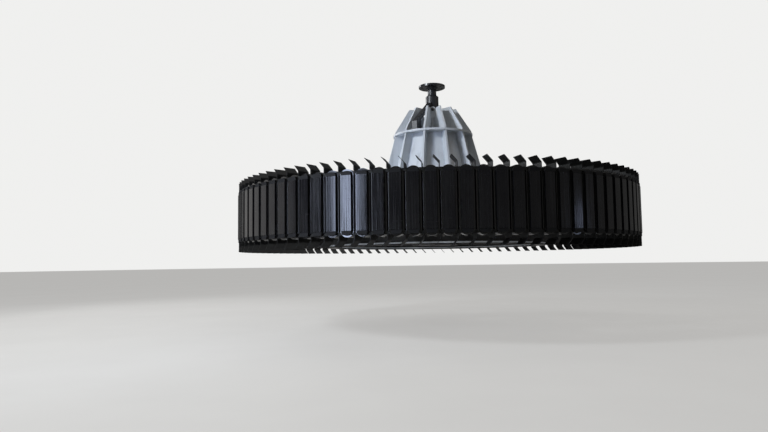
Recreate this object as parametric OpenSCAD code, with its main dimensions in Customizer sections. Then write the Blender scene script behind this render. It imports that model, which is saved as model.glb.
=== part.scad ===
// Salient pole rotor of a large vertical hydroelectric generator.
// +Z is the shaft axis, pointing up. The origin is on the axis, level with the lowest blade tips.

/* [Poles] */
// Number of poles round the rim
pole_count = 96; // [84:12:96]
// Radius of the pole faces at the middle of each pole
pole_face_r = 4900; // [4880:5:4960]
// Radius that each pole face is curved to
pole_curve_r = 4200; // [3000:100:4800]
// Radial depth of a pole from its seat on the rim to its face
pole_depth = 270; // [250:5:300]
// Height of the laminated core of a pole
core_h = 1030; // [990:5:1050]
// Width of the pole body inside its coil
body_w = 165; // [150:1:170]
// Width of the pole shoe
shoe_w = 210; // [200:1:224]
// Radial thickness of the pole shoe
shoe_t = 42; // [36:1:50]
// Thickness of the end plate inside the coil
end_body_t = 34; // [28:1:40]
// Length of the rounded end plate under the shoe line
end_shoe_h = 74; // [66:1:80]
// Corner radius of the end plate
end_corner_r = 90; // [70:1:94]

/* [Field coils] */
// Width of the coil section along the pole, seen from outside
coil_band_w = 60; // [54:1:62]
// Width of the coil section round the ends of the pole
coil_end_w = 82; // [76:1:88]
// Inner corner radius of a coil
coil_corner_r = 24; // [16:1:32]
// Thickness of the insulating collar at each side of a coil
collar_t = 12; // [8:1:16]
// How far the outer collar shows past the pole shoe
collar_show = 12; // [8:1:16]

/* [Rim] */
// Radial width of the rim
rim_w = 375; // [350:5:420]
// Height of the laminated rim
rim_h = 1075; // [1000:5:1120]
// Thickness of the clamping plate at the top and bottom of the rim
rim_plate_t = 45; // [35:1:60]
// Width of a dovetail at the rim surface
tail_neck_w = 84; // [70:1:95]
// Width of a dovetail at its root
tail_head_w = 126; // [110:1:140]
// Depth of a dovetail in the rim
tail_depth = 92; // [80:1:100]

/* [Fans] */
// Radial width of a fan blade
blade_w = 290; // [250:5:320]
// Thickness of a fan blade
blade_t = 12; // [8:1:14]
// Height of a blade above the coil ends
blade_rise = 178; // [166:2:190]
// Height of the upright root of a blade above the coil ends
root_rise = 66; // [50:2:80]
// How far a blade tip leans round the rotor
blade_lean = 104; // [80:2:120]
// Thickness of the foot of a fan
foot_t = 14; // [10:1:18]

/* [Brake ring] */
// Mean radius of the brake ring
brake_r = 2620; // [2580:10:2650]
// Radial width of the brake ring
brake_w = 260; // [220:10:300]
// Thickness of the brake ring
brake_ring_t = 34; // [28:1:44]
// Thickness of the track segments under it
track_t = 24; // [18:1:30]
// Thickness of the cylinder that carries the ring
brake_web_t = 30; // [20:1:40]
// Height of that cylinder
brake_web_h = 330; // [316:2:340]
// Number of track segments
track_count = 24; // [12:12:36]
// Gap between two segments
segment_gap = 6; // [4:1:12]

/* [Spider] */
// Number of arms, ribs, rim keys and rim plate segments
arm_count = 12; // [9:3:12]
// Height of an arm at the rim
arm_h = 720; // [680:10:760]
// Height that an arm gains towards the hub
arm_taper = 100; // [60:10:140]
// Width of an arm flange
arm_flange_w = 360; // [300:10:400]
// Thickness of an arm flange
arm_flange_t = 45; // [35:1:55]
// Thickness of an arm web
arm_web_t = 36; // [30:1:45]
// Radius of the round holes in an arm web
arm_hole_r = 190; // [150:5:210]
// Thickness of the plates at both ends of an arm
arm_end_t = 60; // [50:1:70]
// Thickness of a rim key
key_t = 20; // [16:1:26]
// Width of a rim key
key_w = 110; // [90:5:130]
// Height of the ties between the arms
tie_h = 420; // [350:10:480]
// Thickness of the ties between the arms
tie_t = 30; // [24:1:40]
// Distance of the ties from the axis
tie_r = 2750; // [2600:10:2900]

/* [Shaft stub] */
// Height of the face of the shaft coupling
stub_z = 120; // [100:5:140]
// Radius of the shaft coupling
coupling_r = 570; // [550:5:600]
// Thickness of the shaft coupling
coupling_t = 110; // [90:5:130]
// Radius of the bolt circle of the shaft coupling
coupling_bolt_r = 490; // [480:5:500]
// Radius of a coupling bolt hole
coupling_hole_r = 33; // [26:1:38]
// Number of coupling bolts
coupling_bolts = 16; // [12:2:18]
// Radius of the shaft stub between its two flanges
stub_r = 410; // [380:5:425]
// Radius of the bore through the shaft stub
stub_bore_r = 150; // [120:5:200]
// Radius of the flange at the top of the shaft stub
stub_flange_r = 720; // [680:5:760]
// Thickness of the flange at the top of the shaft stub
stub_flange_t = 100; // [80:5:120]

/* [Hub] */
// Height of the underside of the hub base
base_z = 518; // [500:2:540]
// Thickness of the hub base
base_t = 150; // [130:5:170]
// Radius of the bore of the hub base
base_bore_r = 300; // [250:10:350]
// Wall of the hub drums
drum_wall = 60; // [45:1:75]
// Height of the top of the ring plate above the origin
ring_z = 2954; // [2900:2:3000]
// Thickness of the ring plate
ring_t = 46; // [36:1:60]
// Outer radius of the ring plate
ring_r = 1018; // [1000:2:1030]
// How far the ribs lean out for each unit of height, going down
rib_slope = 0.26; // [0.22:0.005:0.28]
// Radial depth of the lower ribs on the drum
rib_depth = 235; // [225:5:260]
// Thickness of a hub rib
rib_t = 45; // [36:1:60]
// Height of the upper ribs above the ring plate
crown_h = 648; // [640:4:680]
// Height of the upright foot of an upper rib
crown_step = 46; // [30:2:70]
// Radius of the outer end of the top edge of an upper rib
crown_rib_r = 620; // [600:2:640]
// Radius of the inner end of the top edge of an upper rib
crown_rib_in_r = 350; // [345:1:380]
// Radius of the post inside the upper ribs
post_r = 200; // [190:2:220]
// Height of the post above the ring plate
post_h = 434; // [420:2:450]

/* [Lifting stem] */
// Radius of the upper stem
stem_r = 112; // [100:2:130]
// Radius of the lower stem
stem_body_r = 165; // [158:1:168]
// Height of the lower stem
stem_body_h = 580; // [520:10:600]
// Height of the top of the stem
stem_top_z = 4258; // [4200:2:4320]
// Radius of the stem flange
stem_flange_r = 340; // [320:5:360]
// Thickness of the stem flange
stem_flange_t = 50; // [45:1:60]
// Radius of the bolt circle of the stem flange
stem_bolt_r = 262; // [250:2:270]
// Radius of a bolt hole in the stem flange
stem_hole_r = 27; // [20:1:30]
// Number of legs that brace the stem on the ring plate
leg_count = 2; // [2:1:4]
// Thickness of a leg
leg_t = 130; // [110:2:132]
// Radius of the outer side of a leg
leg_r = 985; // [960:5:990]
// Height of the outer side of a leg above the ring plate
leg_step = 212; // [200:2:230]
// Height of the inner side of a leg above the ring plate
leg_knee = 290; // [280:2:300]
// Depth of the upright foot of a leg
leg_depth = 250; // [230:5:260]
// Height of the top of a leg at the stem
leg_top_z = 3818; // [3800:2:3830]
// Height of the end of a leg at the stem
leg_end = 100; // [90:2:104]
// Width of a lug at the foot of the stem
lug_w = 150; // [130:5:154]
// Height of a lug above the post
lug_h = 290; // [270:2:292]
// Radius of the pin hole in a lug
lug_hole_r = 32; // [24:1:36]

/* [Hidden] */
$fn = 96;
// Clearance of a seat between two pieces
seat = 0.3;
// Clearance between a pole body and its coil
coil_clear = 2;
// Number of nodes that like pieces of the rim are shared over
quarters = 4;

ring_bottom = ring_z - ring_t;
core_end = core_h / 2;
coil_in_w = body_w + 2 * coil_clear;
coil_out_w = coil_in_w + 2 * coil_band_w;
coil_in_h = core_h + 2 * end_body_t + 2 * coil_clear;
coil_out_h = coil_in_h + 2 * coil_end_w;
coil_end = coil_out_h / 2;
mid_z = blade_rise + coil_end;
rim_out_r = pole_face_r - pole_depth;
rim_in_r = rim_out_r - rim_w;
rim_half = rim_h / 2;
plate_end = rim_half + rim_plate_t;
plate_out_r = rim_out_r - tail_depth - 10;
plate_in_r = rim_in_r + 10;
coil_in_r = rim_out_r + 12;
coil_out_r = pole_face_r - shoe_t - sagitta_at(shoe_w / 2);
pole_pitch = 360 / pole_count;
arm_pitch = 360 / arm_count;
arm_base_z = mid_z - arm_h / 2 + 15;
arm_tip_r = rim_in_r - key_t;
arm_root_r = rib_r(arm_base_z + arm_h + arm_taper) + 12;
arm_root_top = arm_base_z + arm_h + arm_taper;
pad_r = arm_root_r - 60;
track_angle = 360 / track_count;
brake_ring_z = arm_base_z - brake_web_h - brake_ring_t;
foot_in_r = plate_out_r - 110;
crown_top = ring_z + crown_h;
post_top = ring_z + post_h;
leg_pitch = 360 / leg_count;

// Depth of the curved pole face at a distance from its middle
function sagitta_at(y) = pole_curve_r - sqrt(pole_curve_r * pole_curve_r - y * y);
// Outer radius of the lower ribs at a height
function rib_r(z) = ring_r - 16 + rib_slope * (ring_bottom - z);
// Outer radius of the lower drum at a height
function drum_r(z) = rib_r(z) - rib_depth;

// A ring about the shaft axis
module ring(inner, outer, height, z) {
    translate([0, 0, z]) difference() {
        cylinder(h = height, r = outer);
        translate([0, 0, -1]) cylinder(h = height + 2, r = inner);
    }
}

// A flat plate cut to an outline of radius and height, standing on a radius
module radial_plate(outline, thickness) {
    rotate([90, 0, 0]) translate([0, 0, -thickness / 2]) linear_extrude(thickness) polygon(outline);
}

// A rectangle with round corners, centred on the origin
module round_rect(w, h, r) {
    square([w - 2 * r, h], center = true);
    square([w, h - 2 * r], center = true);
    for (sx = [-1, 1], sy = [-1, 1]) translate([sx * (w / 2 - r), sy * (h / 2 - r)]) circle(r);
}

// An upright outline with half round ends, centred on the origin
module stadium(w, h) {
    square([w, h - w], center = true);
    for (side = [-1, 1]) translate([0, side * (h - w) / 2]) circle(w / 2);
}

// A piece cut by a radial gap at every step round the axis
module split_round(count, gap, reach, turn = 0) {
    difference() {
        children();
        for (i = [0 : count - 1]) rotate([0, 0, turn + i * 360 / count])
            translate([0, -gap / 2, -reach]) cube([reach, gap, 2 * reach]);
    }
}

// An outline seen from outside the rotor, carried from one radius to another
module outward(from_r, to_r) {
    translate([from_r, 0, mid_z]) rotate([90, 0, 90]) linear_extrude(to_r - from_r) children();
}

// Copies of a piece at every pole of one quarter of the rim
module at_poles(quarter, offset = 0) {
    per_quarter = pole_count / quarters;
    for (i = [0 : per_quarter - 1])
        rotate([0, 0, (quarter * per_quarter + i + offset) * pole_pitch]) children();
}

// Copies of a piece at every arm, from one arm on
module at_arms(first = 0, count = arm_count) {
    for (i = [first : first + count - 1]) rotate([0, 0, i * arm_pitch]) children();
}

// Outline of a dovetail, from outside the rim surface inwards
module tail_outline(clear, past) {
    neck = tail_neck_w / 2 + clear;
    head = tail_head_w / 2 + clear;
    root = rim_out_r - tail_depth - clear;
    polygon([[rim_out_r + past, -neck], [rim_out_r + past, neck], [root, head], [root, -head]]);
}

// Limit of the pole face, a cylinder of the face's own radius
module face_limit(back = 0) {
    translate([pole_face_r - back - pole_curve_r, 0, mid_z - coil_out_h])
        cylinder(h = 2 * coil_out_h, r = pole_curve_r, $fn = 360);
}

module pole_core() {
    intersection() {
        union() {
            translate([rim_out_r + seat, -body_w / 2, mid_z - core_end])
                cube([pole_depth, body_w, core_h]);
            translate([pole_face_r - shoe_t - sagitta_at(shoe_w / 2), -shoe_w / 2, mid_z - core_end])
                cube([shoe_t + sagitta_at(shoe_w / 2) + 1, shoe_w, core_h]);
        }
        face_limit();
    }
    translate([0, 0, mid_z - rim_half]) linear_extrude(rim_h) tail_outline(0, 1);
}

// Half of an end plate's outline, above or below the laminated core
module end_outline(side, w, h, r) {
    translate([0, side * (core_end + h / 2)]) intersection() {
        translate([0, -side * h / 2]) round_rect(w, 2 * h, r);
        square([w, h], center = true);
    }
}

module pole_end(side) {
    outward(rim_out_r + seat, coil_out_r + 1) end_outline(side, body_w, end_body_t, coil_corner_r);
    outward(coil_out_r + 0.6, pole_face_r - 10) end_outline(side, shoe_w - 4, end_shoe_h, end_corner_r);
}

module coil_hole() {
    round_rect(coil_in_w, coil_in_h, coil_corner_r);
}

module field_coil() {
    outward(coil_in_r + collar_t, coil_out_r - collar_t) difference() {
        stadium(coil_out_w, coil_out_h);
        coil_hole();
    }
}

module coil_collar_pair() {
    show_w = shoe_w + 2 * collar_show;
    outward(coil_in_r, coil_in_r + collar_t - seat) difference() {
        stadium(coil_out_w, coil_out_h);
        coil_hole();
    }
    outward(coil_out_r - collar_t + seat, coil_out_r) difference() {
        round_rect(show_w, core_h + 2 * end_shoe_h + 2 * collar_show, end_corner_r + collar_show);
        coil_hole();
    }
}

// Points of a blade section from its foot to its leaning tip, as distance round the rotor and height
function blade_line(bend = 14) = [[0, foot_t - coil_end + plate_end], [0, root_rise - bend],
    [-bend / 4, root_rise], [-bend, root_rise + bend * 0.9], [-blade_lean, blade_rise]];

module fan() {
    line = blade_line();
    last = len(line) - 1;
    low = [for (i = [0 : last]) [line[i][0] - blade_t / 2, line[i][1]]];
    high = [for (i = [last : -1 : 0]) [line[i][0] + blade_t / 2, line[i][1]]];
    blade_in_r = pole_face_r - 20 - blade_w;
    translate([blade_in_r, 0, mid_z + coil_end]) rotate([90, 0, 90]) linear_extrude(blade_w)
        polygon(concat(low, high));
    radial_plate([[foot_in_r, mid_z + plate_end + foot_t - 1], [blade_in_r + 5, mid_z + plate_end + foot_t - 1],
        [blade_in_r + 5, mid_z + coil_end + root_rise * 0.6], [foot_in_r, mid_z + plate_end + foot_t + 30]], blade_t);
    translate([foot_in_r, -45, mid_z + plate_end]) cube([plate_out_r - foot_in_r - 4, 90, foot_t]);
}

module mirror_in_rim() {
    translate([0, 0, 2 * mid_z]) mirror([0, 0, 1]) children();
}

module pole_cores(quarter) {
    color("dimgray") at_poles(quarter) pole_core();
}

module pole_end_plates(quarter) {
    color("black") at_poles(quarter) for (side = [-1, 1]) pole_end(side);
}

module field_coils(quarter) {
    color("black") at_poles(quarter) field_coil();
}

module coil_collars(quarter) {
    color("darkslategray") at_poles(quarter) coil_collar_pair();
}

module upper_fans(quarter) {
    color("black") at_poles(quarter, 0.5) fan();
}

module lower_fans(quarter) {
    color("black") at_poles(quarter, 0.5) mirror_in_rim() fan();
}

module rim_stack() {
    color("dimgray") translate([0, 0, mid_z - rim_half]) linear_extrude(rim_h) difference() {
        circle(rim_out_r, $fn = 360);
        circle(rim_in_r, $fn = 360);
        for (i = [0 : pole_count - 1]) rotate(i * pole_pitch) tail_outline(seat, 2);
    }
}

module rim_plate(z) {
    color("gray") split_round(arm_count, segment_gap, plate_out_r + 100, arm_pitch / 2)
        ring(plate_in_r, plate_out_r, rim_plate_t, z);
}

module rim_top_plate() {
    rim_plate(mid_z + rim_half);
}

module rim_bottom_plate() {
    rim_plate(mid_z - plate_end);
}

module brake_web() {
    color("lightgray") split_round(arm_count, segment_gap, brake_r + brake_w, arm_pitch / 2)
        ring(brake_r - brake_web_t, brake_r, brake_web_h, arm_base_z - brake_web_h);
}

module brake_ring() {
    color("lightgray") split_round(arm_count, segment_gap, brake_r + brake_w, arm_pitch / 2)
        ring(brake_r - brake_w / 2, brake_r + brake_w / 2, brake_ring_t, brake_ring_z);
}

module brake_track() {
    color("silver") split_round(track_count, segment_gap, brake_r + brake_w, track_angle / 2)
        ring(brake_r - brake_w / 2 + 8, brake_r + brake_w / 2 - 8, track_t, brake_ring_z - track_t);
}

module spider_arm() {
    web_in = arm_root_r + arm_end_t;
    web_out = arm_tip_r - arm_end_t;
    low = arm_base_z + arm_flange_t;
    top_in = arm_root_top;
    top_out = arm_base_z + arm_h;
    difference() {
        radial_plate([[web_in - 1, low - 1], [web_out + 1, low - 1], [web_out + 1, top_out - 10],
            [web_in - 1, top_in - 10]], arm_web_t);
        for (s = [0.24, 0.72])
            translate([web_in + s * (web_out - web_in), 0, (low + top_out) / 2])
                rotate([90, 0, 0]) cylinder(h = arm_web_t * 2, r = arm_hole_r, center = true);
    }
    radial_plate([[web_in - 1, arm_base_z], [web_out + 1, arm_base_z], [web_out + 1, low], [web_in - 1, low]],
        arm_flange_w);
    radial_plate([[web_in - 1, top_in - arm_flange_t], [web_out + 1, top_out - arm_flange_t],
        [web_out + 1, top_out], [web_in - 1, top_in]], arm_flange_w);
    radial_plate([[arm_root_r + seat, arm_base_z - 10], [web_in, arm_base_z - 10], [web_in, top_in + 25],
        [arm_root_r + seat, top_in + 25]], arm_flange_w);
    radial_plate([[web_out, arm_base_z - 10], [arm_tip_r - seat, arm_base_z - 10], [arm_tip_r - seat, top_out + 20],
        [web_out, top_out + 20]], arm_flange_w * 0.8);
}

module spider_arms(third) {
    color("lightgray") at_arms(third * arm_count / 3, arm_count / 3) spider_arm();
}

module rim_keys() {
    key_face = sqrt(rim_in_r * rim_in_r - key_w * key_w / 4);
    color("gray") at_arms() translate([arm_tip_r, -key_w / 2, arm_base_z])
        cube([key_face - arm_tip_r, key_w, arm_h]);
}

module arm_ties() {
    reach = (tie_r * tan(arm_pitch / 2)) - (arm_web_t / 2 + seat) / cos(arm_pitch / 2);
    slant = tie_t / 2 * tan(arm_pitch / 2);
    color("lightgray") for (i = [0 : arm_count - 1]) rotate([0, 0, (i + 0.5) * arm_pitch])
        translate([0, 0, arm_base_z + (arm_h - tie_h) / 2]) linear_extrude(tie_h)
            polygon([[tie_r - tie_t / 2, -reach + slant], [tie_r + tie_t / 2, -reach - slant],
                [tie_r + tie_t / 2, reach + slant], [tie_r - tie_t / 2, reach - slant]]);
}

module hub_drum() {
    base = base_z + base_t;
    color("lightgray") split_round(arm_count, rib_t + 2 * seat, ring_z) rotate_extrude()
        polygon([[drum_r(base) - drum_wall, base], [drum_r(base), base],
            [drum_r(ring_bottom), ring_bottom], [drum_r(ring_bottom) - drum_wall, ring_bottom]]);
}

module hub_ribs() {
    base = base_z + base_t;
    shelf = arm_root_top + 30;
    color("whitesmoke") at_arms() {
        radial_plate([[drum_r(base) - drum_wall, base], [pad_r + 1, base], [pad_r + 1, shelf], [rib_r(shelf), shelf + 40],
            [rib_r(ring_bottom), ring_bottom], [drum_r(ring_bottom) - drum_wall, ring_bottom]], rib_t);
        radial_plate([[pad_r, arm_base_z - 10], [arm_root_r, arm_base_z - 10], [arm_root_r, shelf], [pad_r, shelf]],
            arm_flange_w);
    }
}

module hub_ring_plate() {
    color("whitesmoke") ring(post_r - drum_wall, ring_r, ring_t, ring_bottom);
}

module crown_post() {
    color("lightgray") ring(post_r - drum_wall, post_r, post_h, ring_z);
}

module crown_ribs() {
    foot_r = ring_r - 20;
    color("whitesmoke") at_arms()
        radial_plate([[post_r + seat, ring_z], [foot_r, ring_z], [foot_r, ring_z + crown_step],
            [crown_rib_r, crown_top], [crown_rib_in_r, crown_top], [crown_rib_in_r, post_top],
            [post_r + seat, post_top]], rib_t);
}

module hub_base() {
    color("lightgray") ring(base_bore_r, pad_r - 20, base_t, base_z);
}

module shaft_stub() {
    top_z = base_z - seat;
    neck_z = stub_z + coupling_t;
    color("dimgray") difference() {
        rotate_extrude() polygon([[stub_bore_r, stub_z], [coupling_r, stub_z], [coupling_r, neck_z],
            [stub_r, neck_z], [stub_r, top_z - stub_flange_t], [stub_flange_r, top_z - stub_flange_t],
            [stub_flange_r, top_z], [stub_bore_r, top_z]]);
        for (i = [0 : coupling_bolts - 1]) rotate([0, 0, i * 360 / coupling_bolts])
            translate([coupling_bolt_r, 0, stub_z - 1]) cylinder(h = coupling_t + 2, r = coupling_hole_r);
    }
}

module lifting_stem() {
    body_top = post_top + stem_body_h;
    flange_z = stem_top_z - stem_flange_t;
    color("black") difference() {
        rotate_extrude() polygon([[0, post_top], [stem_body_r, post_top], [stem_body_r, body_top],
            [stem_r, body_top + 45], [stem_r, flange_z - 50], [stem_r + 50, flange_z],
            [stem_flange_r, flange_z], [stem_flange_r, stem_top_z], [0, stem_top_z]]);
        for (i = [0 : 7]) rotate([0, 0, i * 45 + 22.5])
            translate([stem_bolt_r, 0, flange_z - 1]) cylinder(h = stem_flange_t + 2, r = stem_hole_r);
    }
}

module stem_legs() {
    inner = sqrt(stem_body_r * stem_body_r - leg_t * leg_t / 4) - 20;
    foot = leg_r - leg_depth;
    color("black") for (i = [0 : leg_count - 1]) rotate([0, 0, i * leg_pitch + 2.5 * arm_pitch])
        difference() {
            radial_plate([[inner, leg_top_z], [leg_r, ring_z + leg_step], [leg_r, ring_z], [foot, ring_z],
                [foot, ring_z + leg_knee], [inner, leg_top_z - leg_end]], leg_t);
            translate([0, 0, ring_z]) cylinder(h = 2 * crown_h, r = stem_body_r + seat);
        }
}

module stem_lugs() {
    color("whitesmoke") for (i = [0 : leg_count - 1]) rotate([0, 0, i * leg_pitch + 3.5 * arm_pitch])
        translate([stem_body_r + seat, 0, post_top]) rotate([90, 0, 90]) linear_extrude(post_r - stem_body_r - 2)
            difference() {
                union() {
                    translate([-lug_w / 2, 0]) square([lug_w, lug_h - lug_w / 2]);
                    translate([0, lug_h - lug_w / 2]) circle(lug_w / 2);
                }
                translate([0, lug_h - lug_w / 2]) circle(lug_hole_r);
            }
}

pole_cores(0);  // pole_cores_1
pole_cores(1);  // pole_cores_2
pole_cores(2);  // pole_cores_3
pole_cores(3);  // pole_cores_4
pole_end_plates(0);  // pole_end_plates_1
pole_end_plates(1);  // pole_end_plates_2
pole_end_plates(2);  // pole_end_plates_3
pole_end_plates(3);  // pole_end_plates_4
field_coils(0);  // field_coils_1
field_coils(1);  // field_coils_2
field_coils(2);  // field_coils_3
field_coils(3);  // field_coils_4
coil_collars(0);  // coil_collars_1
coil_collars(1);  // coil_collars_2
coil_collars(2);  // coil_collars_3
coil_collars(3);  // coil_collars_4
upper_fans(0);  // upper_fans_1
upper_fans(1);  // upper_fans_2
upper_fans(2);  // upper_fans_3
upper_fans(3);  // upper_fans_4
lower_fans(0);  // lower_fans_1
lower_fans(1);  // lower_fans_2
lower_fans(2);  // lower_fans_3
lower_fans(3);  // lower_fans_4
rim_stack();
rim_top_plate();
rim_bottom_plate();
brake_web();
brake_ring();
brake_track();
spider_arms(0);  // spider_arms_1
spider_arms(1);  // spider_arms_2
spider_arms(2);  // spider_arms_3
rim_keys();
arm_ties();
hub_drum();
hub_ribs();
hub_ring_plate();
crown_post();
crown_ribs();
hub_base();
shaft_stub();
lifting_stem();
stem_legs();
stem_lugs();
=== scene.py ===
# %% [markdown]
# The rotor of a large hydroelectric generator is already built and packed as a CAD model. This
# lesson loads that model as a fixed frame, gives each part the surface it has in service, adds
# the small fittings that a drawing leaves to the workshop, and lights it as a photographer would.

# %% load the frame
import math

import bmesh
import bpy
from mathutils import Matrix, Vector


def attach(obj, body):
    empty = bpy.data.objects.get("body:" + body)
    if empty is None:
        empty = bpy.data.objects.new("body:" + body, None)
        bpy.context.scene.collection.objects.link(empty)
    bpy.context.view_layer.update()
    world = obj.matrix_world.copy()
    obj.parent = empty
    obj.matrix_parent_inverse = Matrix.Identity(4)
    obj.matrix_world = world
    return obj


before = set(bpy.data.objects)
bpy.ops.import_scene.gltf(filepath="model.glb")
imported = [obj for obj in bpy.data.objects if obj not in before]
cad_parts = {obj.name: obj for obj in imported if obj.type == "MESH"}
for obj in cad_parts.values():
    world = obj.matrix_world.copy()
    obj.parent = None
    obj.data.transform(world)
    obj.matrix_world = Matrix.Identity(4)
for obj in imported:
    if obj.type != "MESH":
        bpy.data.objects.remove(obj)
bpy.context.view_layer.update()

# %% [markdown]
# Fittings have to sit on the CAD model, so the heights that they need are measured on its nodes.
# The counts, the radius of the pole faces and the rows that fittings stand in come from the same
# drawing. All sizes are in metres.

# %% main sizes of the rotor
def heights(name):
    ups = [corner[2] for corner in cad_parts[name].bound_box]
    return round(min(ups), 4), round(max(ups), 4)


POLES = 96
ARMS = 12
FACE_RADIUS = 4.9
RIM_BOTTOM = heights("rim_bottom_plate")[0]
RIM_TOP = heights("rim_top_plate")[1]
RIM_MIDDLE = (RIM_BOTTOM + RIM_TOP) / 2
STACK_BOTTOM, STACK_TOP = heights("rim_stack")
DRUM_BOTTOM, DRUM_TOP = heights("hub_drum")
RING_TOP = heights("hub_ring_plate")[1]
pole_step = 2 * math.pi / POLES
gap_angle = pole_step / 2
print("one pole every", round(FACE_RADIUS * pole_step * 1000), "mm of the face")
print("rim from", RIM_BOTTOM, "to", RIM_TOP, "drum from", DRUM_BOTTOM, "to", DRUM_TOP)

# %% [markdown]
# A material is a small network of nodes, and so is the light of the world. These helpers make
# such networks short to write. An input takes either the output of another node or a plain value.
# The colour sockets of a Mix node share their names with its number sockets, so they are found by
# their place in the row.

# %% helpers for networks
MIX_FACTOR, MIX_A, MIX_B, MIX_RESULT = 0, 6, 7, 2
WAVE_LENGTH = math.pi / 10  # of a Wave texture at scale 1


class Network:
    def __init__(self, tree):
        self.nodes, self.links = tree.nodes, tree.links

    def feed(self, socket, value):
        if isinstance(value, bpy.types.NodeSocket):
            self.links.new(value, socket)
        elif socket.type == "RGBA":
            socket.default_value = (*value, 1)
        else:
            socket.default_value = value

    def add(self, kind, inputs):
        node = self.nodes.new(kind)
        for socket, value in inputs.items():
            self.feed(node.inputs[socket], value)
        return node

    def source(self, kind, output):
        return self.nodes.new(kind).outputs[output]

    def split(self, vector):
        return self.add("ShaderNodeSeparateXYZ", {"Vector": vector}).outputs

    def math(self, kind, a, b=0.0):
        node = self.add("ShaderNodeMath", {0: a, 1: b})
        node.operation = kind
        return node.outputs[0]

    def highest(self, value, *others):
        for other in others:
            value = self.math("MAXIMUM", value, other)
        return value

    def band(self, value, low, high, to_low=0.0, to_high=1.0):
        inputs = {"Value": value, "From Min": low, "From Max": high,
                  "To Min": to_low, "To Max": to_high}
        return self.add("ShaderNodeMapRange", inputs).outputs["Result"]

    def mix(self, factor, a, b):
        node = self.nodes.new("ShaderNodeMix")
        node.data_type = "RGBA"
        for socket, value in ((MIX_FACTOR, factor), (MIX_A, a), (MIX_B, b)):
            self.feed(node.inputs[socket], value)
        return node.outputs[MIX_RESULT]

    def blend(self, pattern, low, high, a, b, most=1.0):
        return self.mix(self.band(pattern, low, high, 0.0, most), a, b)

    def seen(self, mirror_share):
        path = self.nodes.new("ShaderNodeLightPath").outputs
        mirrored = self.math("MULTIPLY", path["Is Glossy Ray"], mirror_share)
        return self.highest(path["Is Camera Ray"], path["Is Transmission Ray"], mirrored)


print("helpers for networks ready")

# %% [markdown]
# Nearly every part of the rotor is round about one shaft, so patterns are laid out in rotor
# coordinates: distance round the shaft, radius, and height. A line of constant height or radius
# then follows each part as a lathe cut or a stack of sheets would. The plain Object coordinate
# works too, but its noise has no direction, and streaks and laminations need one. Distance round
# the shaft is counted from the middle of a gap between two poles.

# %% helper for surfaces
class Surface(Network):
    def __init__(self, name, color, rough, metal=0.0):
        self.mat = bpy.data.materials.new(name)
        self.mat.use_nodes = True
        self.mat.diffuse_color = (*color, 1)
        super().__init__(self.mat.node_tree)
        self.shader = self.nodes["Principled BSDF"]
        for socket, value in (("Base Color", color), ("Roughness", rough), ("Metallic", metal)):
            self.feed(self.shader.inputs[socket], value)
        self.place = self.source("ShaderNodeTexCoord", "Object")
        self.round = None

    def rotor(self):
        if self.round is None:
            inputs = {"Vector": self.place, "Rotation": (0, 0, gap_angle)}
            turned = self.add("ShaderNodeMapping", inputs).outputs["Vector"]
            x, y, z = self.split(turned)
            arc = self.math("MULTIPLY", self.math("ARCTAN2", y, x), FACE_RADIUS)
            square = self.math("ADD", self.math("MULTIPLY", x, x), self.math("MULTIPLY", y, y))
            radius = self.math("SQRT", square)
            joined = self.add("ShaderNodeCombineXYZ", {"X": arc, "Y": radius, "Z": z})
            self.round = joined.outputs["Vector"]
        return self.round

    def scaled(self, vector, scale):
        node = self.add("ShaderNodeVectorMath", {0: vector, 1: scale})
        node.operation = "MULTIPLY"
        return node.outputs[0]

    def noise(self, vector, scale, detail=4.0, rough=0.55):
        inputs = {"Vector": vector, "Scale": scale, "Detail": detail, "Roughness": rough}
        return self.add("ShaderNodeTexNoise", inputs).outputs["Fac"]

    def lines(self, vector, axis, period, wobble=0.0):
        inputs = {"Vector": vector, "Scale": WAVE_LENGTH / period,
                  "Distortion": wobble, "Detail Scale": 2.0}
        node = self.add("ShaderNodeTexWave", inputs)
        node.bands_direction = axis
        return node.outputs["Fac"]

    def upness(self):
        return self.split(self.source("ShaderNodeNewGeometry", "Normal"))["Z"]

    def dust(self, pattern, low, high, least, most):
        facing_up = self.band(self.upness(), 0.55, 0.95)
        return self.math("MULTIPLY", facing_up, self.band(pattern, low, high, least, most))

    def color(self, value):
        self.feed(self.shader.inputs["Base Color"], value)

    def roughness(self, value):
        self.feed(self.shader.inputs["Roughness"], value)

    def specular(self, value):
        self.feed(self.shader.inputs["Specular IOR Level"], value)

    def relief(self, *layers):
        inputs = {"Strength": 1.0}
        for height, depth in layers:
            inputs.update({"Height": height, "Distance": depth})
            inputs["Normal"] = self.add("ShaderNodeBump", inputs).outputs["Normal"]
        self.feed(self.shader.inputs["Normal"], inputs["Normal"])


print("helper for surfaces ready")
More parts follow.
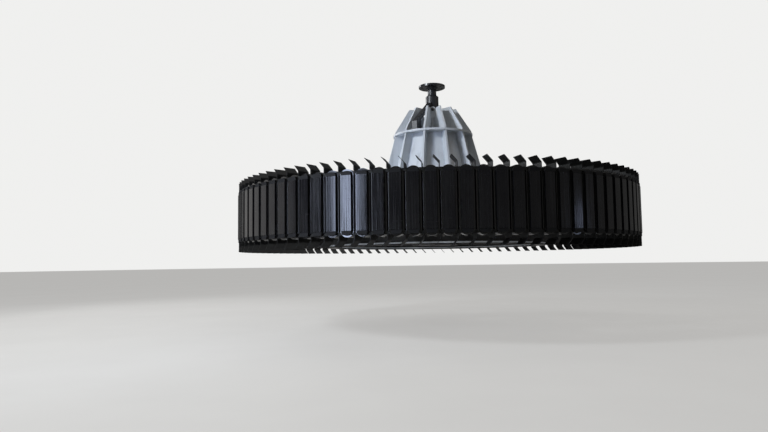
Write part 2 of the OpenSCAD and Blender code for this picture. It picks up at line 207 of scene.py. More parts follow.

# %% [markdown]
# The hub, the spider arms and the brake ring are sprayed with a pale blue grey enamel over welded
# plate. One flat grey would look like plastic, so five things are layered: broad cloudy
# differences from spraying in patches, runs and smears that hang downwards, small dark specks,
# dust that settles on faces that look up, and a low swell of the plate with the fine peel of
# sprayed enamel as relief. Faces that look down low in the rotor, near the brake ring, get a
# painted shade that darkens them to near black, more the lower they are.

# %% enamel of the hub and the spider
# painted shade on faces that look down: none above the first height, full below the second
SHADE_FREE_ABOVE, FULL_SHADE_BELOW = 1.4, 0.9  # heights
paint = Surface("pale_enamel", (0.62, 0.66, 0.70), 0.35)
clouds = paint.noise(paint.place, 1.1, 5, 0.6)
smears = paint.noise(paint.scaled(paint.place, (9, 9, 0.7)), 1.0, 5, 0.6)
specks = paint.noise(paint.place, 90, 2, 0.7)
peel = paint.noise(paint.place, 320, 2)
tone = paint.blend(clouds, 0.35, 0.65, (0.58, 0.61, 0.64), (0.66, 0.69, 0.72))
tone = paint.blend(smears, 0.56, 0.72, tone, (0.38, 0.41, 0.43), 0.5)
tone = paint.blend(specks, 0.70, 0.76, tone, (0.20, 0.18, 0.16), 0.6)
tone = paint.mix(paint.dust(clouds, 0.3, 0.6, 0.15, 0.55), tone, (0.50, 0.47, 0.42))
# painted shade: faces that look down, low in the rotor, turn near black
facing_down = paint.band(paint.upness(), -0.6, -0.9)
low_down = paint.band(paint.split(paint.place)["Z"], SHADE_FREE_ABOVE, FULL_SHADE_BELOW, 0, 0.95)
painted_underside_shade = paint.math("MULTIPLY", facing_down, low_down)
paint.color(paint.mix(painted_underside_shade, tone, (0.022, 0.020, 0.018)))
paint.roughness(paint.band(smears, 0.3, 0.7, 0.30, 0.52))
paint.relief((clouds, 0.004), (peel, 0.0002))
print("made", paint.mat.name)

# %% [markdown]
# A pole core is a stack of punched steel sheets pressed between two end plates and dipped in
# black varnish. In a strong light the sheets draw fine level lines and the press tool leaves
# upright ones, so the reflection breaks into a small grid. Streaks that are long in height and
# others that are long round the shaft change the gloss from glassy to dull, and that gives the
# grid. Modelling a thousand sheets would cost millions of faces for lines thinner than a pixel.

# %% varnish of the laminated poles
SHEET, PACK_OF_SHEETS = 0.009, 0.046
GLASSY = 0.09
pole = Surface("pole_varnish", (0.010, 0.011, 0.013), 0.25)
packs = pole.lines(pole.rotor(), "Z", PACK_OF_SHEETS)
sheets = pole.lines(pole.rotor(), "Z", SHEET, 0.4)
drag = pole.noise(pole.scaled(pole.rotor(), (60, 4, 0.8)), 1.0, 4, 0.65)
level = pole.noise(pole.scaled(pole.rotor(), (2.5, 2, 30)), 1.0, 3, 0.6)
patch = pole.noise(pole.rotor(), 2.3, 4)
tone = pole.blend(patch, 0.35, 0.7, (0.004, 0.004, 0.006), (0.010, 0.010, 0.011))
tone = pole.blend(packs, 0.90, 1.0, tone, (0.002, 0.002, 0.003), 0.35)
pole.color(pole.blend(drag, 0.60, 0.75, tone, (0.030, 0.027, 0.024), 0.35))
pole.roughness(pole.highest(pole.band(drag, 0.42, 0.62, GLASSY, 0.36),
                            pole.band(level, 0.56, 0.72, GLASSY, 0.30),
                            pole.band(packs, 0.90, 1.0, GLASSY, 0.20)))
pole.relief((packs, 0.00010), (drag, 0.00022), (level, 0.00012), (sheets, 0.00003))
print("made", pole.mat.name)

# %% [markdown]
# The plates at the pole ends are one thick piece each, milled and painted with the same black.
# They have no sheets, and their paint is duller than the varnish, so the ends of a lit pole stay
# dark and bluish. Milling leaves faint level marks.

# %% paint of the pole end plates
pole_end = Surface("end_plate_black", (0.014, 0.015, 0.018), 0.28)
marks = pole_end.noise(pole_end.scaled(pole_end.rotor(), (3, 3, 140)), 1.0, 3, 0.5)
patch = pole_end.noise(pole_end.rotor(), 7, 4)
grain = pole_end.noise(pole_end.place, 240, 2)
pole_end.color(pole_end.blend(patch, 0.35, 0.7, (0.005, 0.005, 0.006), (0.009, 0.009, 0.010)))
pole_end.roughness(pole_end.band(patch, 0.3, 0.7, 0.62, 0.74))
pole_end.specular(0.25)
pole_end.relief((marks, 0.0003), (grain, 0.0002))
print("made", pole_end.mat.name)

# %% [markdown]
# A field coil is flat copper strap bent on edge, each turn lying on the one before with a sheet
# of insulation between, all under black varnish. The turns follow one another outwards along the
# pole, so their joints are lines of constant radius. The varnish pools and shines more than the
# boards beside it, and the outermost turn is taped, so its edge towards the next coil is round.
# That is why a coil draws a thin bright line beside a pole. The roundness is a relief that falls
# off towards the gap, between two distances from its middle.

# %% varnish of the field coils
TURN = 0.0105
EDGE_FLAT, EDGE_ROUND = 0.025, 0.014
coil = Surface("coil_varnish", (0.018, 0.017, 0.017), 0.15)
turns = coil.lines(coil.rotor(), "Y", TURN)
drips = coil.noise(coil.scaled(coil.rotor(), (14, 14, 3)), 1.0, 4)
tone = coil.blend(drips, 0.35, 0.7, (0.010, 0.010, 0.010), (0.022, 0.020, 0.019))
coil.color(coil.blend(turns, 0.90, 1.0, tone, (0.003, 0.003, 0.003), 0.8))
coil.specular(0.9)
half_pitch = FACE_RADIUS * gap_angle
to_gap = coil.math("PINGPONG", coil.split(coil.rotor())["X"], half_pitch)
fall = coil.band(to_gap, EDGE_FLAT, EDGE_ROUND)
corner = coil.math("SUBTRACT", 1.0, coil.math("MULTIPLY", fall, fall))
coil.roughness(coil.highest(coil.band(drips, 0.3, 0.7, 0.10, 0.20),
                            coil.band(fall, 0.05, 0.4, 0.10, 0.45)))
coil.relief((corner, 0.0045), (drips, 0.0003))
print("made", coil.mat.name)

# %% [markdown]
# The collars on both sides of a coil are pressed glass board. It is duller than the varnish, a
# dark grey green, and its cut edges show its plies.

# %% board of the coil collars
PLY = 0.003
board = Surface("collar_board", (0.016, 0.016, 0.015), 0.6)
plies = board.lines(board.rotor(), "Y", PLY)
weave = board.noise(board.place, 160, 2)
stain = board.noise(board.rotor(), 5, 4)
board.color(board.blend(stain, 0.3, 0.7, (0.006, 0.006, 0.006), (0.014, 0.014, 0.012)))
board.specular(0.3)
board.roughness(board.band(weave, 0.3, 0.7, 0.55, 0.70))
board.relief((plies, 0.0001), (weave, 0.0002))
print("made", board.mat.name)

# %% [markdown]
# The fan blades are folded plate in satin black, brushed on. Dust from the air lies on their
# tops, and the brush marks run with the blade.

# %% paint of the fan blades
fan = Surface("fan_black", (0.012, 0.012, 0.012), 0.45)
brush = fan.noise(fan.scaled(fan.rotor(), (40, 6, 12)), 1.0, 4)
patch = fan.noise(fan.place, 6, 4)
tone = fan.blend(patch, 0.35, 0.7, (0.005, 0.005, 0.005), (0.011, 0.011, 0.010))
fan.color(fan.mix(fan.dust(patch, 0.3, 0.7, 0.1, 0.5), tone, (0.045, 0.042, 0.038)))
fan.roughness(fan.band(brush, 0.3, 0.7, 0.42, 0.58))
fan.specular(0.3)
fan.relief((brush, 0.0003), (patch, 0.0008))
print("made", fan.mat.name)

# %% [markdown]
# The rim is built on site from thousands of overlapping segments of steel sheet. Its edges are
# dark with varnish and thin rust, again in level lines, but coarser and duller than on the poles.

# %% edges of the laminated rim
RIM_PACK = 0.034
rim = Surface("rim_sheets", (0.030, 0.028, 0.027), 0.5)
packs = rim.lines(rim.rotor(), "Z", RIM_PACK, 0.3)
level = rim.noise(rim.scaled(rim.rotor(), (1.2, 1, 60)), 1.0, 4, 0.6)
rust = rim.noise(rim.rotor(), 1.6, 5)
tone = rim.blend(level, 0.35, 0.65, (0.012, 0.011, 0.011), (0.028, 0.025, 0.023))
tone = rim.blend(packs, 0.88, 1.0, tone, (0.006, 0.006, 0.006), 0.7)
rim.color(rim.blend(rust, 0.58, 0.72, tone, (0.050, 0.027, 0.018), 0.4))
rim.roughness(rim.band(level, 0.3, 0.7, 0.42, 0.62))
rim.relief((packs, 0.0004), (level, 0.0003))
print("made", rim.mat.name)

# %% [markdown]
# The clamping plates, the brake web and the shaft stub are dark painted steel. Thick plate is
# flame cut and ground, so it gets a shallow mottle instead of lines.

# %% dark painted plate
plate = Surface("plate_black", (0.030, 0.030, 0.031), 0.42)
mottle = plate.noise(plate.place, 9, 5)
smears = plate.noise(plate.scaled(plate.rotor(), (2, 14, 14)), 1.0, 4)
grain = plate.noise(plate.place, 200, 2)
tone = plate.blend(mottle, 0.35, 0.7, (0.012, 0.012, 0.013), (0.026, 0.025, 0.024))
plate.color(plate.mix(plate.dust(smears, 0.35, 0.7, 0.1, 0.5), tone, (0.12, 0.11, 0.095)))
plate.roughness(plate.band(mottle, 0.3, 0.7, 0.34, 0.52))
plate.relief((mottle, 0.0005), (grain, 0.0002))
print("made", plate.mat.name)

# %% [markdown]
# Only the parts that rub or are driven home are bare: the brake track and the rim keys. The track
# is ground, so fine scratches run round it with the shaft, and a brown film is left by the
# brakes. The edges are never rubbed and stay nearly black, so colour follows which way a face
# looks.

# %% ground steel of the brake track
ground = Surface("ground_steel", (0.15, 0.14, 0.13), 0.45, 0.8)
scratches = ground.noise(ground.scaled(ground.rotor(), (0.8, 420, 60)), 1.0, 3, 0.6)
film = ground.noise(ground.rotor(), 2.4, 4)
level_face = ground.math("ABSOLUTE", ground.upness())
browned = ground.band(film, 0.4, 0.75, 0.2, 0.9)
rubbed = ground.mix(browned, (0.20, 0.19, 0.18), (0.07, 0.058, 0.05))
ground.color(ground.blend(level_face, 0.3, 0.9, (0.030, 0.027, 0.025), rubbed))
ground.roughness(ground.band(scratches, 0.3, 0.7, 0.36, 0.54))
ground.relief((scratches, 0.0002))
print("made", ground.mat.name)

# %% [markdown]
# The stem that lifts the rotor, and the two legs that brace it, are black enamel over forged and
# cut plate. They are handled roughly, so the enamel is glossy but chipped to primer in specks.

# %% enamel of the stem and its legs
stem = Surface("stem_black", (0.016, 0.016, 0.018), 0.30)
patch = stem.noise(stem.place, 4, 5)
chips = stem.noise(stem.place, 38, 3, 0.7)
tone = stem.blend(patch, 0.35, 0.7, (0.011, 0.011, 0.013), (0.030, 0.030, 0.032))
stem.color(stem.blend(chips, 0.68, 0.72, tone, (0.15, 0.13, 0.11), 0.8))
stem.roughness(stem.band(patch, 0.3, 0.7, 0.24, 0.40))
stem.relief((patch, 0.0010), (chips, 0.0002))
print("made", stem.mat.name)

# %% [markdown]
# Bolts and nuts are blackened steel, rubbed bright where a spanner has turned them.

# %% steel of the bolts
bolt = Surface("bolt_steel", (0.13, 0.125, 0.12), 0.38, 1.0)
wear = bolt.noise(bolt.place, 60, 3)
bolt.color(bolt.blend(wear, 0.45, 0.7, (0.07, 0.068, 0.066), (0.30, 0.29, 0.28)))
bolt.roughness(bolt.band(wear, 0.3, 0.7, 0.30, 0.50))
bolt.relief((wear, 0.0008))
print("made", bolt.mat.name)

# %% [markdown]
# Weld beads are painted with the hub, but their ripples catch the light, so they get a relief of
# their own. The straps that link the coils are copper, brown with tarnish.

# %% weld beads and copper straps
weld = Surface("weld_enamel", (0.58, 0.63, 0.68), 0.4)
ripple = weld.noise(weld.place, 70, 2)
weld.color(weld.blend(ripple, 0.35, 0.65, (0.48, 0.53, 0.58), (0.64, 0.69, 0.74)))
weld.relief((ripple, 0.004))
copper = Surface("link_copper", (0.30, 0.16, 0.10), 0.4, 0.6)
tarnish = copper.noise(copper.place, 30, 3)
copper.color(copper.blend(tarnish, 0.35, 0.65, (0.05, 0.035, 0.03), (0.16, 0.08, 0.05)))
copper.roughness(copper.band(tarnish, 0.3, 0.7, 0.28, 0.5))
copper.relief((tarnish, 0.0006))
print("made", weld.mat.name, copper.mat.name)

# %% [markdown]
# Now each CAD node takes its material. A CAD mesh is never changed, only its material slot. What
# repeats round the rotor is split over several nodes with a number at the end of their name, so
# the look is found by the name without it.

# %% dress the frame
looks = {
    "pole_cores": pole, "pole_end_plates": pole_end, "field_coils": coil, "coil_collars": board,
    "upper_fans": fan, "lower_fans": fan, "rim_stack": rim, "rim_top_plate": plate,
    "rim_bottom_plate": plate, "brake_web": plate, "brake_ring": paint, "brake_track": ground,
    "spider_arms": paint, "rim_keys": ground, "arm_ties": paint, "hub_drum": paint,
    "hub_ribs": paint, "hub_ring_plate": paint, "crown_post": paint, "crown_ribs": paint,
    "hub_base": paint, "shaft_stub": plate, "lifting_stem": stem, "stem_legs": stem,
    "stem_lugs": paint,
}
for name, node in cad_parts.items():
    surface = looks.get(name) or looks[name.rsplit("_", 1)[0]]
    node.data.materials.clear()
    node.data.materials.append(surface.mat)
print("dressed", len(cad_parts), "nodes")

# %% [markdown]
# The fittings follow. Each is modelled once, lying at the origin and pointing up, and then copied
# to its places on the rotor. Copies of one kind are joined, so the rotor gains about twenty
# objects and not a thousand. These helpers hold the hand work: start a shape, pick its faces,
# edges or points by where they are, and cut it across.

# %% helpers for hand modelling
def start_edit():
    bpy.ops.object.mode_set(mode="EDIT")
    bpy.ops.mesh.select_all(action="DESELECT")
    return bpy.context.object


def start_block(size, middle=0.0):
    bpy.ops.object.select_all(action="DESELECT")
    bpy.ops.mesh.primitive_cube_add(size=1, location=(0, 0, middle))
    obj = start_edit()
    bpy.ops.mesh.select_all(action="SELECT")
    bpy.ops.transform.resize(value=size)
    return obj


def start_hexagon(radius, length):
    bpy.ops.object.select_all(action="DESELECT")
    bpy.ops.mesh.primitive_cylinder_add(vertices=6, radius=radius, depth=length,
                                        location=(0, 0, length / 2))
    return start_edit()


def pick_faces(obj, test):
    mesh = bmesh.from_edit_mesh(obj.data)
    for face in mesh.faces:
        face.select_set(test(face.calc_center_median(), face.normal))
    bmesh.update_edit_mesh(obj.data)


def pick_upright_edges(obj, shortest):
    mesh = bmesh.from_edit_mesh(obj.data)
    for edge in mesh.edges:
        low, high = sorted(vert.co.z for vert in edge.verts)
        if high - low > shortest:
            edge.select_set(True)
    bmesh.update_edit_mesh(obj.data)


def pick_points(obj, test):
    mesh = bmesh.from_edit_mesh(obj.data)
    for vert in mesh.verts:
        vert.select_set(test(vert.co))
    mesh.select_flush(True)
    bmesh.update_edit_mesh(obj.data)


def looks_up(center, normal):
    return normal.z > 0.9


def cut_across(direction, places):
    for place in places:
        bpy.ops.mesh.select_all(action="SELECT")
        bpy.ops.mesh.bisect(plane_co=Vector(direction) * place, plane_no=direction)


def bevel(width):
    bpy.ops.mesh.bevel(offset=width, segments=1, affect="EDGES")


def raise_picked(rise):
    bpy.ops.mesh.extrude_region_move(TRANSFORM_OT_translate={"value": (0, 0, rise)})


def end_edit(obj, name):
    bpy.ops.mesh.select_all(action="SELECT")
    bpy.ops.mesh.normals_make_consistent(inside=False)
    bpy.ops.object.mode_set(mode="OBJECT")
    obj.name = name
    bpy.ops.object.transform_apply(location=True, rotation=True, scale=True)
    return obj


print("modelling helpers ready")

# %% [markdown]
# Places on the rotor are rings: so many copies round the shaft, at a radius and a height, from a
# first angle on. A copy can point up, down, out from the shaft or in towards it, and it can stand
# to one side of its own angle, as the two bolts beside a web do.

# %% helpers for placing
TILTS = {"up": Matrix.Identity(4), "down": Matrix.Rotation(math.pi, 4, "X"),
         "out": Matrix.Rotation(math.pi / 2, 4, "Y"), "in": Matrix.Rotation(-math.pi / 2, 4, "Y")}


def ring(count, radius, height, way="up", side=0.0, start=0.0):
    place = Matrix.Translation((radius, side, height)) @ TILTS[way]
    step = 2 * math.pi / count
    return [Matrix.Rotation(start + i * step, 4, "Z") @ place for i in range(count)]


def spread(pattern, name, places, surface):
    bpy.ops.object.select_all(action="DESELECT")
    for place in places:
        copy = pattern.copy()
        copy.data = pattern.data.copy()
        copy.data.transform(place)
        bpy.context.collection.objects.link(copy)
        copy.select_set(True)
        bpy.context.view_layer.objects.active = copy
    bpy.ops.object.join()
    piece = bpy.context.view_layer.objects.active
    piece.name = piece.data.name = name
    piece.data.materials.clear()
    piece.data.materials.append(surface.mat)
    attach(piece, "root")
    print(name, len(places), "copies,", len(piece.data.polygons), "faces")


print("placing helpers ready")

# %% [markdown]
# A stud with its nut starts as a six sided cylinder. The top edge is chamfered with a bevel, the
# top face is inset to the size of the stud, and the stud is drawn up out of it by extruding. A
# modelled thread would never be seen, so the stud only narrows a little to its end.

# %% nut and stud patterns
CHAMFER_SHARE = 0.12  # of the height of the nut
STUD_TAPER = 0.86


def nut_pattern(name, across, height, stud, rise):
    chamfer = height * CHAMFER_SHARE
    obj = start_hexagon(across / 2 / math.cos(math.pi / 6), height)
    pick_faces(obj, looks_up)
    bevel(chamfer)
    pick_faces(obj, looks_up)
    bpy.ops.mesh.inset(thickness=(across - stud) / 2 - chamfer)
    raise_picked(rise)
    bpy.ops.transform.resize(value=(STUD_TAPER, STUD_TAPER, 1))
    return end_edit(obj, name)


big_nut = nut_pattern("big_nut", across=0.056, height=0.030, stud=0.036, rise=0.020)
small_bolt = nut_pattern("small_bolt", across=0.030, height=0.013, stud=0.018, rise=0.002)
joint_nut = nut_pattern("joint_nut", across=0.075, height=0.040, stud=0.048, rise=0.022)
print("patterns ready")

# %% [markdown]
# Studs run through the whole rim and clamp its sheets between the end plates, in two rows. The
# inner row has two studs to a pole. Fan feet leave no room for the outer row at their own angle,
# so it is shifted by a fraction of a pole.

# %% studs of the rim
INNER_ROW, OUTER_ROW = 4.322, 4.462
OUTER_SHIFT = 0.16 * pole_step
for end, height, way in (("top", RIM_TOP, "up"), ("bottom", RIM_BOTTOM, "down")):
    places = ring(2 * POLES, INNER_ROW, height, way, start=gap_angle / 2)
    places += ring(POLES, OUTER_ROW, height, way, start=OUTER_SHIFT)
    spread(big_nut, "rim_studs_" + end, places, bolt)

# %% [markdown]
# Each fan blade stands on a foot over the gap between two poles, with a screw at either side of
# the blade.

# %% screws of the fan feet
FOOT_THICK = 0.014
SCREW_ROW, SCREW_SIDES = 4.492, (-0.027, 0.027)
foot_top, foot_bottom = RIM_TOP + FOOT_THICK, RIM_BOTTOM - FOOT_THICK
for end, height, way in (("top", foot_top, "up"), ("bottom", foot_bottom, "down")):
    places = []
    for side in SCREW_SIDES:
        places += ring(POLES, SCREW_ROW, height, way, side, gap_angle)
    spread(small_bolt, "fan_screws_" + end, places, bolt)

# %% [markdown]
# A pole hangs in the rim by a dovetail, and a pair of keys wedges it tight. A small plate over
# the end of the dovetail stops the keys from creeping out. It starts as a cube and is cut across
# into three fields. The outer two are inset, the heads of the two keys are extruded out of them,
# and a small bevel takes off their sharp edges.

# %% key plates of the poles
KEY_PLATE = (0.062, 0.104, 0.014)
KEY_ROW = 4.584
FIELD_EDGE = 0.018
KEY_MARGIN, KEY_RISE = 0.009, 0.010
key_plate = start_block(KEY_PLATE, KEY_PLATE[2] / 2)
cut_across((0, 1, 0), (FIELD_EDGE, -FIELD_EDGE))
pick_faces(key_plate, lambda center, normal: normal.z > 0.9 and abs(center.y) > FIELD_EDGE)
bpy.ops.mesh.inset(thickness=KEY_MARGIN, use_individual=True)
raise_picked(KEY_RISE)
bevel(0.002)
end_edit(key_plate, "key_plate")
spread(key_plate, "pole_keys_top", ring(POLES, KEY_ROW, STACK_TOP), plate)
spread(key_plate, "pole_keys_bottom", ring(POLES, KEY_ROW, STACK_BOTTOM, "down"),
       plate)

# %% [markdown]
# The coils are joined in one long series, by a bent copper strap from each coil to the next, by
# turns at the top and at the bottom. The strap is a cube that is cut across in four places. Its
# middle is then pulled away, so that heat can stretch the strap without breaking the joint, and a
# low pad rises at each end where it is brazed to a coil.

# %% straps between the coils
STRAP = (0.044, 0.134, 0.010)
STRAP_ROW = 4.666
STRAP_TOP = 1.392
BEND_START, BEND_END, BEND_DEPTH = 0.042, 0.026, 0.022
PAD_MARGIN, PAD_RISE = 0.006, 0.005
strap_bottom = 2 * RIM_MIDDLE - STRAP_TOP
strap = start_block(STRAP)
cut_across((0, 1, 0), (-BEND_START, -BEND_END, BEND_END, BEND_START))
pick_points(strap, lambda co: abs(co.y) < (BEND_START + BEND_END) / 2)
bpy.ops.transform.translate(value=(0, 0, -BEND_DEPTH))
pick_faces(strap, lambda center, normal: normal.z > 0.9 and abs(center.y) > BEND_START)
bpy.ops.mesh.inset(thickness=PAD_MARGIN, use_individual=True)
raise_picked(PAD_RISE)
end_edit(strap, "coil_strap")
spread(strap, "coil_straps_top",
       ring(POLES // 2, STRAP_ROW, STRAP_TOP, start=gap_angle), copper)
spread(strap, "coil_straps_bottom",
       ring(POLES // 2, STRAP_ROW, strap_bottom, "down", start=3 * gap_angle),
       copper)

# %% [markdown]
# When the rotor spins, each coil pushes sideways on its pole. Wedges of pressed board fill the
# valley between two coils at their ends and hold them apart, and the foot of the fan lies over
# the wedge. The wedge is a block with its top edges bevelled. Its sides are straight, so they run
# on inside the round coils, where they don't show. The level cuts leave rings of points by which
# the block could be narrowed downwards to the curve of the coils.

# %% wedges between the coils
WEDGE = (0.140, 0.120, 0.0635)
WEDGE_ROW = 4.77
WEDGE_CUTS = (-0.0125, -0.0275, -0.0475)
wedge = start_block(WEDGE, -WEDGE[2] / 2)
cut_across((0, 0, 1), WEDGE_CUTS)
pick_faces(wedge, looks_up)
bevel(0.003)
end_edit(wedge, "coil_wedge")
spread(wedge, "coil_wedges_top",
       ring(POLES, WEDGE_ROW, foot_top, start=gap_angle), board)
spread(wedge, "coil_wedges_bottom",
       ring(POLES, WEDGE_ROW, foot_bottom, "down", start=gap_angle), board)

# %% [markdown]
# The arms are bolted to pads on the hub, two columns of bolts on each, with nuts on the inner
# side of the pad too.

# %% bolts of the arms
PAD_OUTSIDE, PAD_INSIDE = 1.4957, 1.3757
COLUMNS, BOLT_HEIGHTS = (-0.118, 0.118), (0.60, 0.73, 0.86, 0.99, 1.12)
places = []
for side in COLUMNS:
    for height in BOLT_HEIGHTS:
        places += ring(ARMS, PAD_OUTSIDE, height, "out", side)
        places += ring(ARMS, PAD_INSIDE, height, "in", side)
spread(joint_nut, "arm_bolts", places, bolt)

# %% [markdown]
# The shaft stub hangs under the hub base on a ring of larger bolts. The brake ring is held by
# small bolts inside and outside its web.

# %% bolts of the hub base and the brake ring
FLANGE_THICK = 0.1
BASE_BOLTS, BASE_ROW = 24, 0.62
TRACK_BOLTS, TRACK_ROWS = 48, (2.540, 2.690)
flange_under = heights("shaft_stub")[1] - FLANGE_THICK
half_step = math.pi / BASE_BOLTS
places = ring(BASE_BOLTS, BASE_ROW, flange_under, "down", start=half_step)
places += ring(BASE_BOLTS, BASE_ROW, DRUM_BOTTOM, start=half_step)
spread(joint_nut, "hub_base_bolts", places, bolt)
places = []
for row in TRACK_ROWS:
    places += ring(TRACK_BOLTS, row, heights("brake_ring")[1], start=math.pi / TRACK_BOLTS)
spread(small_bolt, "brake_ring_bolts", places, bolt)

# %% [markdown]
# Each black leg of the stem stands on a foot plate that is held to the ring plate of the hub by
# six small bolts. The plate is a plain block, a little wider than the leg.

# %% feet of the legs
LEG_ANGLE = math.radians(75)
LEG_FOOT = (0.262, 0.250, 0.018)
LEG_ROW, LEG_BOLT_STEP = 0.860, 0.095
foot = start_block(LEG_FOOT, LEG_FOOT[2] / 2)
end_edit(foot, "leg_foot")
spread(foot, "leg_feet", ring(2, LEG_ROW, RING_TOP, start=LEG_ANGLE), stem)
places = []
for row in (LEG_ROW - LEG_BOLT_STEP, LEG_ROW, LEG_ROW + LEG_BOLT_STEP):
    for side in (-LEG_BOLT_STEP, LEG_BOLT_STEP):
        places += ring(2, row, RING_TOP + LEG_FOOT[2], "up", side, LEG_ANGLE)
spread(small_bolt, "leg_foot_bolts", places, bolt)

# %% [markdown]
# The pale lugs at the foot of the stem each take a pin with a wide head.

# %% pins of the lugs
PIN_RADIUS, PIN_HEIGHT = 0.1983, 3.603
lug_angle = LEG_ANGLE + 2 * math.pi / ARMS
spread(joint_nut, "lug_pins", ring(2, PIN_RADIUS, PIN_HEIGHT, "out", start=lug_angle),
       bolt)

# %% [markdown]
# The ribs of the hub are welded to the drum along both sides. A bead is a thin cylinder whose
# long edges are subdivided, with every second ring of points drawn in, which gives the ripple
# that a welder leaves. It would be lighter to paint it on, but the bead breaks the sharp inner
# corner and catches light there. The drum narrows upwards, so its beads lean with it.

# %% weld beads of the drum
RIPPLE_DEPTH = 0.78
RIB_SIDES = (-0.0245, 0.0245)
DRUM_SLOPE = 0.26
RIB_EDGE, RIB_DEPTH = 1.002, 0.235  # at the top of the drum


def bead_pattern(name, length, radius, cuts):
    obj = start_hexagon(radius, length)
    pick_upright_edges(obj, length / 2)
    bpy.ops.mesh.subdivide(number_cuts=cuts)
    ripple_length = length / (cuts + 1)
    pick_points(obj, lambda co: round((co.z + length / 2) / ripple_length) % 2 == 1)
    bpy.ops.transform.resize(value=(RIPPLE_DEPTH, RIPPLE_DEPTH, 1))
    return end_edit(obj, name)


drum_rise = DRUM_TOP - DRUM_BOTTOM
drum_foot_row = RIB_EDGE - RIB_DEPTH + DRUM_SLOPE * drum_rise
lean = Matrix.Rotation(-math.atan(DRUM_SLOPE), 4, "Y")
lower_bead = bead_pattern("lower_bead", drum_rise * math.hypot(1, DRUM_SLOPE), 0.010, 31)
places = []
for side in RIB_SIDES:
    places += [place @ lean for place in ring(ARMS, drum_foot_row, DRUM_BOTTOM, "up", side)]
spread(lower_bead, "rib_welds", places, weld)

# %% [markdown]
# The ribs of the crown get a shorter bead of the same kind, along the ring plate from the post
# outwards.

# %% weld beads of the crown
CROWN_START, CROWN_BEAD = 0.205, 0.79
upper_bead = bead_pattern("upper_bead", CROWN_BEAD, 0.009, 15)
places = []
for side in RIB_SIDES:
    places += ring(ARMS, CROWN_START, RING_TOP, "out", side)
spread(upper_bead, "crown_welds", places, weld)

# %% [markdown]
# The patterns themselves are taken away again, because only their copies belong to the rotor.

# %% remove the patterns
patterns = (big_nut, small_bolt, joint_nut, key_plate, strap, wedge, foot, lower_bead, upper_bead)
for pattern in patterns:
    bpy.data.objects.remove(pattern, do_unlink=True)

# %% [markdown]
# The rotor hangs from its stem while it is carried, so the floor lies well below it. The floor is
# a plain pale disc with a little mottle, so wide and round that its edge is a level line from any
# side. Light Path lifts it towards white for the camera, and a little in mirror images, which
# keeps the shadow and puts no more light on the rotor.

# %% floor
FLOOR_HEIGHT, FLOOR_RADIUS = -1.9, 220
FLOOR_LIFT, FLOOR_IN_MIRRORS = 0.55, 0.2
bpy.ops.object.select_all(action="DESELECT")
bpy.ops.mesh.primitive_circle_add(vertices=180, radius=FLOOR_RADIUS, fill_type="NGON",
                                  location=(0, 0, FLOOR_HEIGHT))
floor = bpy.context.object
floor.name = "floor"
pale = Surface("floor_pale", (0.70, 0.69, 0.67), 0.7)
wear = pale.noise(pale.place, 0.35, 4)
pale.color(pale.blend(wear, 0.3, 0.7, (0.66, 0.65, 0.63), (0.74, 0.73, 0.71)))
glow = pale.add("ShaderNodeEmission", {"Color": (0.80, 0.79, 0.77)}).outputs["Emission"]
lift = pale.math("MULTIPLY", pale.seen(FLOOR_IN_MIRRORS), FLOOR_LIFT)
lifted = pale.add("ShaderNodeMixShader", {0: lift, 1: pale.shader.outputs["BSDF"], 2: glow})
pale.feed(pale.nodes["Material Output"].inputs["Surface"], lifted.outputs["Shader"])
floor.data.materials.append(pale.mat)
print("floor at", FLOOR_HEIGHT, "m")

# %% [markdown]
# A low cool light comes from all round, a little warmer from below. A gradient on the world does
# that, and the camera sees it near white, so the outline stands clear. Mirror images take on a
# small share of that white: bare steel shows it, and the black varnish stays as dark as on the
# real rotor.

# %% world
WHITE_IN_MIRRORS = 0.03
world = bpy.data.worlds.new("studio")
bpy.context.scene.world = world
world.use_nodes = True
sky = Network(world.node_tree)
rise = sky.band(sky.split(sky.source("ShaderNodeTexCoord", "Generated"))["Z"], -0.5, 0.6)
tint = sky.mix(rise, (0.080, 0.074, 0.063), (0.098, 0.101, 0.105))
backdrop = sky.mix(sky.seen(WHITE_IN_MIRRORS), tint, (0.87, 0.87, 0.86))
sky.feed(sky.nodes["Background"].inputs["Color"], backdrop)
print("made world", world.name)

# %% [markdown]
# The camera is placed from the photograph: its lens, its height a little below the rotor, and its
# turn about the shaft were found by matching the poles and the ribs of the hub. Directions of
# lamps are then given from the camera, as a photographer would: degrees to the left or right of
# it.

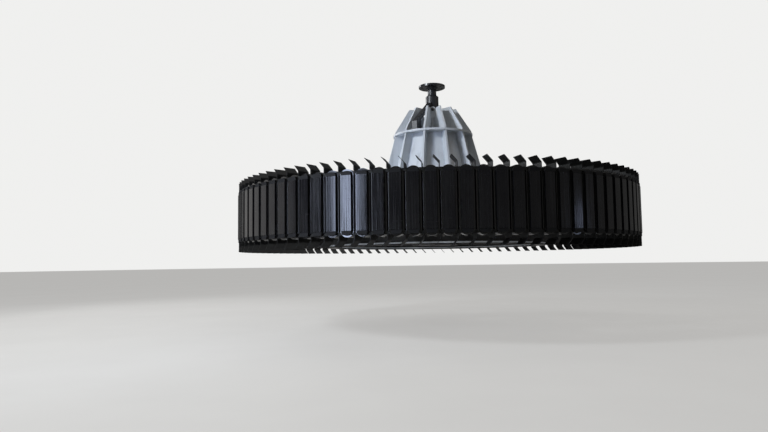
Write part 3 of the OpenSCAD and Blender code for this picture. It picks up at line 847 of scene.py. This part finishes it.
# %% camera
SPIN = math.radians(16.53)
EYE = Vector((-0.2637 * FACE_RADIUS, -3.2121 * FACE_RADIUS, -0.276))
TILT_UP, ROLL = 0.0741, -0.0139
LENS = 28.85
eye = Matrix.Rotation(SPIN, 3, "Z") @ EYE
camera_data = bpy.data.cameras.new("camera")
camera_data.lens = LENS
camera_data.clip_end = 300
camera = bpy.data.objects.new("camera", camera_data)
bpy.context.collection.objects.link(camera)
level_view = Matrix.Translation(eye) @ Matrix.Rotation(SPIN, 4, "Z")
tilt = Matrix.Rotation(math.pi / 2 + TILT_UP, 4, "X") @ Matrix.Rotation(ROLL, 4, "Z")
camera.matrix_world = level_view @ tilt
bpy.context.scene.camera = camera
camera_side = SPIN - math.pi / 2
print("camera", [round(v, 2) for v in eye])

# %% [markdown]
# A high lamp on the left is the key light: it is small, so the ribs of the hub throw clear
# shadows to the right. A tall cool lamp stands lower on the same side and shows as a long
# reflection in the few poles that face it. A grid, set as spread, keeps its light off the floor.
# A small lamp does the same on the right. A long low lamp far on the left, one overhead, a faint
# warm one on the right and one behind the rotor keep the dark sides readable.

# %% lamps
def area_lamp(name, turn, distance, height, target, size, power, color, spread_angle=180):
    data = bpy.data.lights.new(name, "AREA")
    data.shape = "RECTANGLE"
    data.size, data.size_y = size
    data.energy = power
    data.color = color
    data.spread = math.radians(spread_angle)
    lamp = bpy.data.objects.new(name, data)
    bpy.context.collection.objects.link(lamp)
    around = camera_side + math.radians(turn)
    lamp.location = (distance * math.cos(around), distance * math.sin(around), height)
    aim = Vector((0, 0, target)) - lamp.location
    lamp.rotation_euler = aim.to_track_quat("-Z", "Y").to_euler()
    print("lamp", name, [round(v, 1) for v in lamp.location])


NEUTRAL = (1.0, 0.98, 0.95)
area_lamp("key", -54, 17.0, 9.5, 2.4, (2.6, 2.6), 1750, (0.90, 0.95, 1.0))
area_lamp("tall", -42.8, 14.0, 2.2, 1.4, (3.0, 4.4), 74, (0.64, 0.74, 1.0), spread_angle=70)
area_lamp("small", 60.3, 13.8, 1.08, 1.0, (0.9, 0.85), 7, (0.60, 0.70, 1.0))
area_lamp("side", -98, 15.0, 1.8, 1.0, (14, 4), 80, NEUTRAL)
area_lamp("overhead", 0, 2.0, 13.0, 0, (12, 12), 260, NEUTRAL)
area_lamp("fill", 70, 14.0, 10.0, 1.0, (8, 8), 100, (1.0, 0.90, 0.78))
area_lamp("back", -130, 15.0, 8.5, 1.5, (5, 5), 600, (0.95, 0.97, 1.0))

# %% [markdown]
# Standard view keeps written colours as they are. The boxes before and after are saved, to show
# that nothing that was added reaches outside the CAD model.

# %% view
bpy.context.scene.view_settings.view_transform = "Standard"
